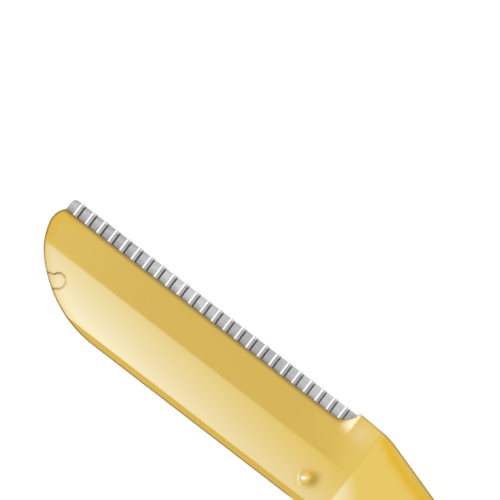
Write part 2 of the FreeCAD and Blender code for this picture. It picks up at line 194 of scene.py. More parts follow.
class HandleSizes(bpy.types.PropertyGroup):
    """Sizes of the handle."""

    handle_length: length("Length", "Crease to tail, along the blade's direction", 0.107)
    bend_top: length("Bend, edge side", "Stretch over which the edge side bends", 0.0017)
    bend_spine: length("Bend, spine side", "Stretch over which the spine side bends", 0.014)
    handle_angle: angle("Drop", "Angle at which the handle drops behind the neck", 16.4)
    tail_angle: angle("Drop at the tail", "Angle at which it still drops at the tail", 8.0)
    half_grip: length("Half grip", "Middle plane to the grip's face", 0.00235)
    thickening: length("Thickening", "Crease to full thickness", 0.018)
    palm_swell: length("Palm swell", "Extra width under the palm", 0.0011)
    palm_start: length("Palm start", "Crease to the start of the swell", 0.022)
    palm_end: length("Palm end", "Crease to the end of the swell", 0.104)
    taper_length: length("Taper", "Stretch over which the tail narrows", 0.034)
    tail_width: share("Tail width", "Share of the width left at the tail", 0.66)
    half_tail: length("Half tail", "Middle plane to the tail's face", 0.00155)
    tail_round: length("Tail round", "Stretch over which the tail rounds off", 0.0042)
    grip_round: length("Grip round", "Rounding of the long edges", 0.00135)
    round_growth: length("Round growth", "Stretch over which that rounding grows", 0.018)
    edge_start: length("Edge side start", "Window's end to where it starts on the edge side", 0.0004)
    edge_growth: length("Edge side growth", "Stretch over which it widens on the edge side", 0.00648)
    round_limit: share("Round limit", "Share of the half thickness that a rounding may take", 0.8)


class BarSizes(bpy.types.PropertyGroup):
    """Sizes of a guard bar."""

    leg: length("Leg", "Bar below the lip", 0.0009)
    half_width: length("Half width", "Middle of a bar to its foot", 0.00027)
    thickness: length("Thickness", "Bar above the blade's face", 0.00017)
    fit: length("Fit", "Clearance on the blade", 0.00001)
    bend_level: length("Bend level", "Lip to the middle of the round over the edge", 0.00105)
    crisp_angle: angle("Crisp angle", "Turn between two faces past which their edge is crisp", 24.0)


class GridSettings(bpy.types.PropertyGroup):
    """Spacing of the points on the shells and the guard bars."""

    nose_end: length("Nose end", "Free end to where the nose's close rows end", 0.0056)
    corner_start: length("Corner start", "Free end to where the corner's close rows start", 0.029)
    neck_margin: length("Neck margin", "Crease to where the neck's close rows end", 0.002)
    wall_start: length("Wall start", "Face's edge to the first point on an upright wall", 0.00006)
    nose_crowding: number("Nose crowding", "Power that crowds rows at the nose's tip", 1.5)
    corner_crowding: number("Corner crowding", "Power that crowds rows at the window's end", 1.8)
    tail_crowding: number("Tail crowding", "Power that crowds rows at the tail's tip", 2.0)
    nose_rows: count("Nose rows", "Rows on the nose", 130)
    middle_rows: count("Middle rows", "Rows between the nose and the window's corner", 84)
    corner_rows: count("Corner rows", "Rows on the window's corner", 64)
    shoulder_rows: count("Shoulder rows", "Rows on the shoulder and the neck", 70)
    grip_rows: count("Grip rows", "Rows on the grip", 96)
    tail_rows: count("Tail rows", "Rows on the round tail", 20)
    face_columns: count("Face columns", "Points across a shell's face", 150)
    leg_steps: count("Leg steps", "Points along a bar's leg", 6)
    turn_steps: count("Turn steps", "Points along a bar's round", 19)


class Tints(bpy.types.PropertyGroup):
    """Where painted light and painted shade change the plastic's colour, and by how much."""

    bevel_blend: length("Bevel blend", "Change of colour across the bevel's line", 0.00025)
    chamfer_blend: length("Chamfer blend", "Change of colour across the chamfer's line", 0.0002)
    wall_lead: length("Wall lead", "Start of the wall's colour to the shoulder's edge", 0.0013)
    wall_change: length("Wall change", "Stretch over which the wall's colour grows", 0.001)

    # Painted light: where the lighter lit copy of the plastic lies.
    lit_face_lead: length("Grip lead", "Start of the grip's colour to the shoulder's edge", 0.001)
    nose_lit_face: share("Nose grip", "Grip's colour on the bevel at the free end", 0.45)
    nose_lit_face_reach: length("Nose grip reach", "Free end to where that ends", 0.012)

    # Painted warm shade on the handle's edges, the nose's tip, the chamfer and the nub's far side.
    band: share("Band", "Deep band beside the handle's edges", 0.82)
    band_inset: length("Band inset", "Handle's edge to the band, at the crease", 0.0005)
    band_shift: length("Band shift", "How far the band moves inwards behind the crease", 0.00045)
    band_shift_length: length("Band shift length", "Stretch over which it moves inwards", 0.003)
    band_reach: length("Band reach", "How far the band spreads", 0.0005)
    band_start: share("Band start", "How far the band has grown at the crease", 0.2)
    band_growth: length("Band growth", "Stretch over which the band grows", 0.0009)
    edge: share("Edge", "Deep colour on the handle's edges", 0.3)
    edge_reach: length("Edge reach", "How far that spreads from the edge", 0.0012)
    edge_growth: length("Edge growth", "Stretch behind the crease over which it grows", 0.002)
    tip: share("Tip", "Deep colour at the nose's tip", 0.8)
    tip_reach: length("Tip reach", "How far that spreads from the edge", 0.0011)
    tip_length: length("Tip length", "Free end to where half of it is left", 0.0018)
    tip_low: length("Tip low end", "Stretch across the bevel's line over which it ends", 0.0012)
    chamfer: share("Chamfer", "Deep colour at the chamfer's foot", 0.25)
    chamfer_more: share("Chamfer more", "How much more there is at the chamfer's top", 0.35)

    # Painted highlight on the flat, a wedge behind the crease, the wall, a patch on the shoulder and the nub.
    painted_highlight: share("Pale", "Pale colour on the bevel's line at the free end", 0.41)
    pale_fall: number("Pale fall", "Its fall in a metre towards the handle", 12.5)
    pale_rise: number("Pale rise", "Its rise in a metre towards the spine", 106.0)
    rise_start: number("Rise start", "Share of that rise at the free end", 1.05)
    rise_fall: number("Rise fall", "Fall of that share in a metre towards the handle", 10.0)
    pale_most: share("Pale most", "Most pale colour on the flat", 0.74)
    pale_edge: length("Pale edge", "Stretch over which it fades to the outline", 0.0012)
    pale_edge_start: share("Pale edge start", "How far it has grown at the outline", 0.22)
    nub_clear: share("Nub clear", "Pale colour that the snap nub takes away", 0.8)
    nub_clear_reach: length("Nub clear reach", "How far that spreads", 0.0008)
    recess_clear: share("Recess clear", "Pale colour that the recess's edge takes away", 0.65)
    recess_clear_reach: length("Recess clear reach", "How far that spreads", 0.00012)
    wedge: share("Wedge", "Pale wedge behind the crease", 0.42)
    wedge_start: length("Wedge start", "Lip's line to the wedge's upper side", 0.0024)
    wedge_change: length("Wedge change", "Stretch over which the wedge grows", 0.0022)
    wedge_length: length("Wedge length", "Crease to the wedge's end", 0.006)
    wall: share("Wall", "Pale colour on the wall beside the window", 0.75)
    wall_low: length("Wall low end", "Lip to that colour's low end", 0.0009)
    wall_rise: length("Wall rise", "Stretch over which it grows from there", 0.0012)
    # Painted highlight: a patch on the shoulder.
    shoulder_highlight: share("Glow", "Pale patch on the shoulder", 0.22)
    shoulder_highlight_x: length("Glow place along", "Shoulder's edge to the patch", 0.0009)
    shoulder_highlight_y: length("Glow place above", "Lip to the patch", 0.0002)
    shoulder_highlight_reach: length("Glow reach", "How far the patch spreads", 0.001)
    spot: share("Spot", "Pale spot on the snap nub", 0.95)
    spot_x: length("Spot place along", "Spot to the nub's middle, towards the nose", 0.0004)
    spot_y: length("Spot place below", "Spot to the nub's middle, towards the spine", 0.00038)
    spot_reach: length("Spot reach", "How far the spot spreads", 0.00026)

    # Painted dark shade along the outline, under the lip, on the chamfer, in the crease and recess, and on
    # the nub.
    line_reach: length("Line reach", "Width over which the outline fades", 0.00012)
    outline: share("Outline", "Line on the outline", 0.7)
    outline_full: number("Outline full", "Its strength on the edge, before it is held at 1", 1.4)
    outer: share("Outer", "How much more line there is round the nose and spine", 0.1)
    outer_full: number("Outer full", "How much more strength it has there", 0.4)
    outer_reach: length("Outer reach", "Free end to where that ends", 0.004)
    outer_low: length("Outer low", "Lip to where it starts towards the spine", 0.003)
    outer_change: length("Outer change", "Stretch over which it grows towards the spine", 0.002)
    outline_fade: share("Outline fade", "Share of the outline that the handle loses", 0.75)
    fade_start: length("Fade start", "Crease to where it starts to fade", 0.008)
    fade_length: length("Fade length", "Stretch over which it fades", 0.012)
    wall_bare: share("Wall bare", "Share of the outline that the wall loses", 0.75)
    shoulder_bare: share("Shoulder bare", "Share of the outline that the shoulder loses", 0.5)
    shoulder_change: length("Shoulder change", "Stretch at the crease over which it returns", 0.001)
    lip: share("Lip", "Line at the lip", 0.8)
    lip_reach: length("Lip reach", "How far that spreads from the lip", 0.0004)
    chamfer_line: share("Chamfer line", "Line colour on the chamfer", 0.16)
    crease: share("Crease", "Line in the crease", 0.05)
    crease_reach: length("Crease reach", "How far that spreads", 0.00013)
    crease_low: length("Crease low end", "Lip to that line's low end", 0.0045)
    recess: share("Recess", "Line round the recess", 0.5)
    recess_full: number("Recess full", "Its strength on the edge, before it is held at 1", 1.5)
    recess_reach: length("Recess reach", "Width over which that line fades", 0.00009)
    mouth: share("Mouth", "Line at the corners of the recess's mouth", 0.9)
    mouth_full: number("Mouth full", "Its strength on the edge, before it is held at 1", 2.2)
    mouth_reach: length("Mouth reach", "How far that spreads along the outline", 0.0002)


class Finishes(bpy.types.PropertyGroup):
    """Colours, gloss and grain of the pieces."""

    plastic: colour("Plastic", "Body colour of the head", 219, 184, 84)
    # Painted light: a lighter copy of the head's plastic for the faces that catch more light.
    plastic_lit_face: colour("Grip plastic", "Body colour of the handle", 231, 198, 92)
    # Painted shade: a warmer, darker copy of the plastic for rounded edges and shaded slopes; the flow clouds
    # use it too.
    plastic_flow_and_shade: colour("Deep plastic", "Colour of the shells at rounded edges", 230, 182, 4)
    # Painted highlight: a whitish copy of the plastic laid where light glints on the shells.
    plastic_highlight: colour("Pale plastic", "Colour of the shells where they are thin and clear", 246, 241, 212)
    # Painted shade: the dark colour laid along the edges, at the lip's foot, in the crease and recess and on
    # the nub.
    plastic_dark_shade: colour("Plastic line", "Colour of the sharp edges and of the lip's foot", 118, 90, 26)
    plastic_roughness: share("Plastic roughness", "Roughness of the moulded face", 0.24)
    plastic_spread: share("Plastic roughness spread", "Change of that roughness over the skin", 0.1)
    cloud_scale: number("Cloud scale", "Fineness of the plastic's flow clouds", 160.0)
    cloud_stretch: share("Cloud stretch", "Fineness of the clouds along the razor", 0.5)
    cloud_depth: share("Cloud depth", "How much the clouds change the deep colour", 0.2)
    skin_scale: number("Skin scale", "Fineness of the moulded skin", 5200.0)
    skin_bump: share("Skin bump", "Strength of the moulded skin", 0.04)
    skin_height: length("Skin height", "Height of the moulded skin", 0.00002)

    steel: colour("Blade steel", "Colour of the blade", 246, 246, 248)
    # Painted shade: the blade's colour beside the lip and at the handle's end.
    steel_shade: colour("Blade shade", "Colour of the blade beside the lip", 152, 150, 149)
    steel_roughness: share("Blade roughness", "Roughness of the blade", 0.26)
    steel_spread: share("Blade roughness spread", "Change of that roughness over the grinding", 0.16)
    grind_scale: number("Grinding scale", "Fineness of the grinding lines", 24000.0)
    grind_stretch: share("Grinding stretch", "Fineness of those lines along the blade", 0.06)
    grind_tone: share("Grinding tone", "Change of tone over the grinding lines", 0.3)
    grind_bump: share("Grinding bump", "Strength of the grinding lines", 0.15)
    grind_height: length("Grinding height", "Height of the grinding lines", 0.000006)
    mottle_scale: number("Mottle scale", "Fineness of the mottling", 3800.0)
    mottle_tone: share("Mottle tone", "Change of tone over the mottling", 0.2)
    # Painted shade on the blade beside the lip.
    shade_height: length("Shade height", "Lip to where the blade's shade ends", 0.0009)
    shade_start: share("Shade start", "How far below dark the tone starts at the lip", 0.1)
    shade_fall: number("Shade fall", "Fall of that shade in a metre towards the handle", 12.0)
    # Painted reflection: the blade's tone rises towards the handle and swells in a slow wave of bright and
    # dark bays.
    bright: share("Bright", "Tone of the bright steel at the free end", 0.48)
    bright_rise: number("Bright rise", "Rise of that tone in a metre towards the handle", 4.0)
    bright_more: share("Bright more", "How much brighter the steel is past the nose", 0.12)
    bright_reach: length("Bright reach", "Free end to where it is that bright", 0.005)
    wave_depth: share("Wave depth", "Slow change of tone along the blade", 0.18)
    wave_start: length("Wave start", "Free end to the first rise of that change", 0.009)
    wave_turn: number("Wave turn", "Turn of that change in a metre, in radians", 393.0)
    # Painted shade at the blade's end by the handle.
    end_shade: share("End shade", "How much darker the blade's end at the handle is", 0.5)
    end_start: length("End start", "Free end to where that starts", 0.0305)
    end_length: length("End length", "Stretch over which it grows", 0.0015)

    bar_steel: colour("Bar steel", "Colour of the guard bars", 250, 250, 250)
    # Painted shade: the darker steel on the flank that faces the handle and in the grooves.
    bar_shade: colour("Bar shade", "Colour of the flank that faces the handle", 124, 123, 122)
    bar_roughness: share("Bar roughness", "Roughness of the guard bars", 0.18)
    bar_spread: share("Bar roughness spread", "Change of that roughness over the drawn lines", 0.1)
    draw_scale: number("Drawing scale", "Fineness of the drawn lines", 30000.0)
    draw_stretch: share("Drawing stretch", "Fineness of those lines along a bar", 0.05)
    draw_tone: share("Drawing tone", "Share of the colour in the drawn lines", 0.8)
    draw_bump: share("Drawing bump", "Strength of the drawn lines", 0.12)
    draw_height: length("Drawing height", "Height of the drawn lines", 0.000004)


class StageSettings(bpy.types.PropertyGroup):
    """Floor, lights and camera."""

    floor: colour("Floor", "Colour of the floor", 248, 248, 248)
    half_floor: length("Half floor", "Middle of the floor to its side", 1.5)
    floor_level: number("Floor level", "Level of the floor's own white", 1.04)
    floor_shown: share("Floor shown", "Share of that white; the rest takes the shadow", 0.93)
    ambient: number("Ambient", "Level of the light from all round", 0.5)
    ambient_fall: number("Ambient fall", "How much it falls towards the handle", 0.7)
    ambient_rise: number("Ambient rise", "How much it rises beyond the cutting edge", 0.9)
    panel: number("Panel", "How much a soft panel at the blade's free end adds", 0.9)
    panel_power: number("Panel power", "Power at which the panel fades to its sides", 4.0)
    key_power: number("Key power", "Power of the soft light above", 0.6, unit="POWER")
    key_side: length("Key side", "Side of the soft light above", 0.18)
    key_tilt: angle("Key tilt", "Turn of that light from straight up", 27.0)
    key_bearing: angle("Key bearing", "Direction in which that light stands", 245.0)
    side_power: number("Side power", "Power of the low light at the blade's end", 0.5, unit="POWER")
    side_side: length("Side light's side", "Side of the low light", 0.08)
    side_tilt: angle("Side tilt", "Turn of that light from straight up", 67.0)
    side_bearing: angle("Side bearing", "Direction in which that light stands", 228.0)
    lamp_distance: length("Lamp distance", "Middle of the view to the lights", 0.4)
    lens: number("Lens", "Focal length in millimetres", 200.0, unit="CAMERA")
    sensor: number("Sensor", "Width of the sensor in millimetres", 36.0, unit="CAMERA")
    nearest: length("Nearest", "Closest place that the camera sees", 0.001)
    farthest: length("Farthest", "Farthest place that the camera sees", 10.0)
    frame_side: length("Frame", "Side of the square that the camera sees", 0.044695)
    view_x: length("View along", "Free end of the blade to the middle of the view", 0.015308)
    view_y: length("View above", "Lip to the middle of the view", 0.007147)
    view_level: length("View level", "Middle plane to the level that fills the frame", 0.001)
    view_turn: angle("View turn", "Turn of the camera about the vertical", 37.6)


def smooth(value):
    """0 before 0, 1 after 1, and half a cosine wave between them."""
    return (1 - np.cos(np.pi * np.clip(value, 0.0, 1.0))) / 2


def bell(distance, reach):
    """1 at no distance and less on both sides: e to the power of minus the squared distance in reaches."""
    return np.exp(-(distance / reach) ** 2)


def ramp(distance, reach, full=1.0):
    """A full strength less the distance in reaches, held between 0 and 1."""
    return np.clip(full - distance / reach, 0.0, 1.0)


def blend(first, second, part):
    """Value that lies that part of the way from the first to the second."""
    return first + (second - first) * part


def polar(radius, turn):
    """Plan vector of that length at that angle."""
    return radius * np.array((math.cos(turn), math.sin(turn)))


def soft_min(first, second, reach):
    """The lower of two heights, with a parabola in place of their corner where they are within reach."""
    near = np.clip(0.5 + 0.5 * (second - first) / reach, 0.0, 1.0)
    return blend(second, first, near) - reach * near * (1 - near)


def edge_drop(distance, across, down):
    """Fall of a rounded edge: a quarter ellipse, level at across from the edge and upright on the edge."""
    inward = ramp(distance, across)
    return down * (1 - np.sqrt(1 - inward * inward))


def nose_arcs(head):
    """The nose as three tangent circles: a list of (centre, radius, x where the arc ends)."""
    tip = polar(head.tip_radius, head.tip_start)
    tip_end = tip - polar(head.tip_radius, head.tip_end)
    flank = tip_end + polar(head.flank_radius, head.tip_end)
    flank_end = flank - polar(head.flank_radius, head.flank_end)
    heel_radius = (flank_end[1] + head.head_depth) / (1 - math.sin(head.flank_end))
    heel = flank_end + polar(heel_radius, head.flank_end)
    return [
        (tip, head.tip_radius, tip_end[0]),
        (flank, head.flank_radius, flank_end[0]),
        (heel, heel_radius, heel[0]),
    ]


def window_corner(head):
    """Centre and radius of the window's round corner, which ends on the shoulder."""
    radius = head.shoulder_rise / (1 - math.cos(head.corner_sweep))
    return np.array((head.window_length - radius * math.sin(head.corner_sweep), radius)), radius


def half_chord(circle, x):
    """Half the chord that a circle cuts from the upright line at x."""
    centre, radius = circle[0], circle[1]
    return np.sqrt(np.maximum(radius ** 2 - (x - centre[0]) ** 2, 0.0))


def shoulder_edge(head):
    """x of the shoulder's edge, where the wall beside the window ends."""
    return head.window_length + head.shoulder_land


def neck_place(head):
    """x of the crease where the handle starts."""
    return shoulder_edge(head) + head.neck_length


def tail_share(handle, along):
    """Share of its width that the handle keeps where the tail rounds off: an ellipse that ends at zero."""
    into = (along - handle.handle_length + handle.tail_round) / handle.tail_round
    return np.sqrt(1 - np.clip(into, 0.0, 1.0) ** 2)


def bend_drop(handle, along, bend, first):
    """Drop of a handle edge.

    It is a parabola from a first slope, then a straight fall that eases towards the tail.
    """
    steep, gentle = math.tan(handle.handle_angle), math.tan(handle.tail_angle)
    bent = np.minimum(along, bend)
    eased = np.maximum(along - handle.bend_spine, 0.0)
    easing = (steep - gentle) * eased ** 2 / (2 * (handle.handle_length - handle.bend_spine))
    return first * bent + (steep - first) * bent * bent / (2 * bend) + steep * (along - bent) - easing


def tail_taper(handle, along):
    """0 before the tail's taper and 1 at the tail's end."""
    return smooth((along - handle.handle_length + handle.taper_length) / handle.taper_length)


def handle_outline(head, handle, along):
    """Edge-side and spine-side y of the handle: two dropping edges, a sine-squared swell and a taper."""
    fall = head.shoulder_drop / head.neck_length
    top = head.shoulder_rise - head.shoulder_drop - bend_drop(handle, along, handle.bend_top, fall)
    low = -head.head_depth - bend_drop(handle, along, handle.bend_spine, 0.0)
    palm = np.clip((along - handle.palm_start) / (handle.palm_end - handle.palm_start), 0.0, 1.0)
    width = top - low + handle.palm_swell * np.sin(np.pi * palm) ** 2
    width *= (1 - (1 - handle.tail_width) * tail_taper(handle, along)) * tail_share(handle, along)
    return (top + low + width) / 2, (top + low - width) / 2


def outline(head, handle, x):
    """Edge-side and spine-side y of the razor at x: nose circles, lip, window corner, shoulder, handle."""
    tip, flank, heel = nose_arcs(head)
    corner, radius = window_corner(head)
    top, low = handle_outline(head, handle, np.maximum(x - neck_place(head), 0.0))
    top += head.shoulder_drop * np.clip((neck_place(head) - x) / head.neck_length, 0.0, 1.0)
    edge_side = np.select(
        [x < 0, x < corner[0], x < head.window_length],
        [tip[0][1] + half_chord(tip, x), 0 * x, radius - half_chord((corner, radius), x)],
        top)
    spine_side = np.select(
        [x < tip[2], x < flank[2], x < heel[2]],
        [circle[0][1] - half_chord(circle, x) for circle in (tip, flank, heel)],
        low)
    return edge_side, np.minimum(spine_side, edge_side)


def nose_distance(head, x, y):
    """How far a point is inside the nose: the radius less the distance to the centre of the arc beside it."""
    tip, flank, heel = nose_arcs(head)

    def inside(circle):
        return circle[1] - np.hypot(x - circle[0][0], y - circle[0][1])

    def bearing(circle):
        return np.arctan2(circle[0][1] - y, circle[0][0] - x)

    by_tip = (x < tip[0][0]) & (bearing(tip) < head.tip_end)
    by_flank = (x < flank[0][0]) & (bearing(flank) < head.flank_end)
    return np.select([by_tip, by_flank, x < heel[0][0]], [inside(tip), inside(flank), inside(heel)], far)


def lip_distance(head, x, y):
    """How far a point is below the lip, or outside the window's round corner."""
    corner, radius = window_corner(head)
    beside = np.hypot(x - corner[0], y - corner[1]) - radius
    return np.select([x < corner[0], x < head.window_length], [-y, beside], far)


def rounded_steps(x, places, levels, rounding, samples=9):
    """Straight steps between places, with each corner rounded by averaging over a short stretch."""
    offsets = np.linspace(-rounding, rounding, samples)
    return np.mean([np.interp(x + offset, places, levels) for offset in offsets], axis=0)


def bevel_height(head, x, y):
    """Height of the sloping band: it falls from the flat to the lip and rises again into the shoulder.

    The rise is a mix of a gentle one, which holds low on the head, and a steep wall, which holds beside
    the window, so that the wall fades out towards the flat.
    """
    neck, edge = neck_place(head), shoulder_edge(head)
    foot = edge - head.wall_length
    start = foot - head.fade_length
    slope = (head.half_head - head.half_lip) / head.bevel_width
    gentle = rounded_steps(x, [start, neck - head.ramp_round], [0.0, 1.0], head.ramp_round)
    wall_places = [start, foot, edge, neck - head.wall_round]
    wall = rounded_steps(x, wall_places, [0.0, head.wall_foot, head.wall_top, 1.0], head.wall_round)
    risen = blend(gentle, wall, smooth((y + head.wall_low) / head.wall_fade))
    return head.half_head - slope * (1 - risen) * (y + head.bevel_width)


def crown_fall(head, x, y):
    """Fall of the face towards the spine and the nose: two parabolas.

    The first starts on the bevel's line, which runs off towards the spine behind the crease.
    """
    behind = np.maximum(x - neck_place(head), 0.0)
    reach = head.head_depth - head.bevel_width
    below = np.maximum(-head.bevel_width - head.crown_runoff * behind - y, 0.0)
    ahead = np.maximum(head.nose_fall_length - x, 0.0)
    return head.crown_drop * (below / reach) ** 2 + head.nose_fall * (ahead / head.nose_fall_length) ** 2


def from_nub(head, x, y):
    """How far a point is from the middle of the snap nub, along and across the head."""
    return x - neck_place(head) + head.nub_before_crease, y + head.nub_below_lip


def share_towards(along, across, bearing):
    """Cosine of the angle between the way to a point and a bearing, and zero on the far side."""
    ahead = along * math.cos(bearing) + across * math.sin(bearing)
    return np.clip(ahead / np.maximum(np.hypot(along, across), smallest), 0.0, 1.0)


def nub_height(head, x, y):
    """Snap nub: a bell, the fourth power of a parabola, which is level at its top and at its foot."""
    away = np.hypot(*from_nub(head, x, y)) / head.nub_radius
    return head.nub_height * np.clip(1 - away ** 2, 0.0, 1.0) ** 4


def recess_inside(head, x, y):
    """How far a point is inside the recess: a round-ended slot that opens at the nose.

    Its upper side has a slight waist, a bell of the distance along the slot, and a flared mouth.
    """
    turn = head.recess_turn
    right, up = x - head.recess_x, y + head.recess_y
    out = right * math.cos(turn) + up * math.sin(turn)
    side = -right * math.sin(turn) + up * math.cos(turn)
    waist = head.waist_depth * bell(out - head.waist_place, head.waist_reach) * (side < 0)
    slot = head.recess_radius - waist - np.where(out > 0, np.abs(side), np.hypot(out, side))
    flare_y = head.recess_radius + head.recess_lip
    round_flare = np.hypot(out - head.recess_radius, side + flare_y) - head.recess_lip
    beside = np.where(side > 0, -far, side + flare_y)
    flare = np.minimum.reduce([round_flare, out - head.recess_radius, beside])
    return np.maximum(slot, flare)


def handle_half(head, handle, along):
    """Half thickness of the handle: a sine rise from the crease, a flat grip and a taper to the tail."""
    rise = np.sin(np.pi / 2 * np.minimum(along / handle.thickening, 1.0))
    half = blend(head.half_head, handle.half_grip, rise)
    half -= (handle.half_grip - handle.half_tail) * tail_taper(handle, along)
    return half * np.sqrt(tail_share(handle, along))


def shell_height(head, handle, x, y, front):
    """Height of the outside above the middle plane, and the distances to its edges that colour it.

    The face is the lower of the crowned flat and the bevel, less the deepest fall of the rounded edges,
    plus the nub and, on the front, less the recess. A rounding takes only part of the half thickness and
    half width, but at the tail's tip it goes down all the way. The distances are those to the nearest edge
    of the outline, to the lip and into the recess.
    """
    neck = neck_place(head)
    along = np.maximum(x - neck, 0.0)
    top, low = outline(head, handle, x)
    half = handle_half(head, handle, along)
    flat = half - crown_fall(head, x, y)
    soft = head.bevel_soft * np.clip((neck - x) / head.bevel_fade, least_share, 1.0)
    face = np.where(x < neck, soft_min(flat, bevel_height(head, x, y), soft), flat)

    lean = np.where(along > 0, math.cos(handle.handle_angle), 1.0)
    heel = nose_arcs(head)[2][0]
    to_top = np.where(x < head.window_length, far, (top - y) * lean)
    to_spine = np.where(x < heel[0], y + head.head_depth, (y - low) * lean)
    to_nose = nose_distance(head, x, y)
    to_lip = lip_distance(head, x, y)

    widest = np.maximum(handle.round_limit * np.minimum(half, (top - low) / 2), smallest)
    kept = (1 - handle.round_limit) * tail_share(handle, along)
    deepest = np.where(along > 0, (1 - kept) * half, widest)
    growth = smooth(along / handle.round_growth)
    early = smooth((x - head.window_length - handle.edge_start) / handle.edge_growth)
    grown = blend(head.edge_break, handle.grip_round, growth)
    down = np.minimum(grown, deepest)
    top_across = np.minimum(blend(head.edge_break, handle.grip_round, early), widest)
    near_corner = smooth((x - head.window_length + head.corner_lead) / head.corner_change)
    lip_across = blend(head.lip_across, head.edge_break, near_corner)
    lip_down = blend(head.lip_down, head.edge_break, near_corner)
    chamfer = head.spine_down * ramp(to_spine, head.spine_across) * (1 - growth)
    spine_fall = chamfer + edge_drop(to_spine, np.minimum(grown, widest), down)
    fall = np.maximum.reduce([
        edge_drop(to_nose, head.nose_across, head.nose_down),
        edge_drop(to_lip, lip_across, lip_down),
        edge_drop(to_top, top_across, down),
        np.minimum(spine_fall, deepest),
    ])
    height = face - fall + nub_height(head, x, y)
    in_recess = recess_inside(head, x, y) if front else np.full_like(x, -far)
    height -= head.recess_depth * smooth(in_recess / head.recess_soft + 0.5)
    rim = np.minimum.reduce([to_nose, to_lip, to_top, np.abs(to_spine)])
    return np.maximum(height, 0.0), rim, to_lip, in_recess


def on_flat(head, tints, x, y):
    """1 on the head's flat face, with a soft step to 0 on the bevel's line, and 0 on the handle."""
    below = -head.bevel_width - y
    return smooth(below / tints.bevel_blend + 0.5) * (x < neck_place(head))


def on_chamfer(head, tints, x, y):
    """1 on the head's spine chamfer, with a soft step to 0 on its line, and 0 on the handle."""
    below = head.spine_across - head.head_depth - y
    return smooth(below / tints.chamfer_blend + 0.5) * (x < neck_place(head))


def on_wall(head, tints, x):
    """A soft step to 1 on the wall beside the window, and 0 behind the shoulder's edge."""
    edge = shoulder_edge(head)
    return smooth((x - edge + tints.wall_lead) / tints.wall_change) * (x < edge)


def nub_tint(head, x, y, tint):
    """Sum of one tint's rings on the snap nub.

    Each is a bell of the distance to a circle, times the share by which a point lies towards its bearing.
    """
    along, across = from_nub(head, x, y)
    away = np.hypot(along, across)
    total = np.zeros_like(away)
    for amount, radius, reach, bearing in nub_rings[tint]:
        facing = 1.0 if bearing is None else share_towards(along, across, math.radians(bearing))
        total += amount * bell(away - radius, reach) * facing
    return total


def lit_face_share(head, tints, x, y):
    """Painted light: a lighter copy of the plastic, full on the handle and the flat, with part of it on the
    bevel at the nose.
    """
    past_shoulder = x - shoulder_edge(head) + tints.lit_face_lead
    return np.maximum.reduce([
        smooth(past_shoulder / (head.neck_length + tints.lit_face_lead)),
        on_flat(head, tints, x, y),
        tints.nose_lit_face * smooth(1 - x / tints.nose_lit_face_reach),
    ])


def warm_shade_share(head, tints, x, y, rim):
    """Painted warm shade: the sum of what the handle's edges, the nose's tip, the chamfer and the nub have.

    Beside the handle's edges it is a bell of the distance to a line that moves inwards behind the crease,
    and on the edges and the tip it falls straight with the distance to the outline.
    """
    behind = np.maximum(x - neck_place(head), 0.0)
    below = -head.bevel_width - y
    inset = tints.band_inset + tints.band_shift * smooth(behind / tints.band_shift_length)
    band = tints.band * bell(rim - inset, tints.band_reach)
    band = band * smooth(behind / tints.band_growth + tints.band_start)
    edge = tints.edge * ramp(rim, tints.edge_reach) * smooth(behind / tints.edge_growth)
    tip = tints.tip * ramp(rim, tints.tip_reach)
    tip = tip * smooth(1.5 - x / tints.tip_length) * smooth(0.5 - below / tints.tip_low)
    up_chamfer = smooth((y + head.head_depth) / head.spine_across)
    chamfer = (tints.chamfer + tints.chamfer_more * up_chamfer) * on_chamfer(head, tints, x, y)
    return np.clip(band + edge + tip + chamfer + nub_tint(head, x, y, "warm_shade"), 0.0, 1.0)


def highlight_share(head, tints, x, y, rim, in_recess):
    """Painted highlight: the most that the flat, a wedge, the wall, a patch and the nub's spot have.

    On the flat it grows evenly towards the nose and the spine, and fades at the outline, the chamfer, the
    nub and the recess's edge. The wedge lies behind the crease and the patch on the shoulder.
    """
    neck, edge = neck_place(head), shoulder_edge(head)
    behind = np.maximum(x - neck, 0.0)
    below = -head.bevel_width - y
    above_chamfer = y + head.head_depth - head.spine_across
    along, across = from_nub(head, x, y)

    rise = tints.pale_rise * below * (tints.rise_start - tints.rise_fall * x)
    flat = np.clip(tints.painted_highlight - tints.pale_fall * x + rise, 0.0, tints.pale_most)
    flat = flat * on_flat(head, tints, x, y) * smooth(rim / tints.pale_edge + tints.pale_edge_start)
    flat = flat * smooth(above_chamfer / tints.chamfer_blend + 0.5)
    flat = flat * (1 - tints.nub_clear * bell(np.hypot(along, across), tints.nub_clear_reach))
    flat = flat * (1 - tints.recess_clear * bell(in_recess, tints.recess_clear_reach))

    wedge = tints.wedge * smooth((-y - tints.wedge_start - behind) / tints.wedge_change)
    wedge = wedge * smooth(1 - behind / tints.wedge_length) * (x >= neck)
    wall = tints.wall * on_wall(head, tints, x) * smooth((y + tints.wall_low) / tints.wall_rise)
    to_shoulder_highlight = np.hypot(x - edge - tints.shoulder_highlight_x, y - tints.shoulder_highlight_y)
    shoulder_highlight = tints.shoulder_highlight * bell(to_shoulder_highlight, tints.shoulder_highlight_reach) * (x >= edge)
    # Painted highlight on the nub's lit side.
    spot = tints.spot * bell(np.hypot(along + tints.spot_x, across + tints.spot_y), tints.spot_reach)
    return np.maximum.reduce([flat, wedge, wall, shoulder_highlight, spot, nub_tint(head, x, y, "painted_highlight")])


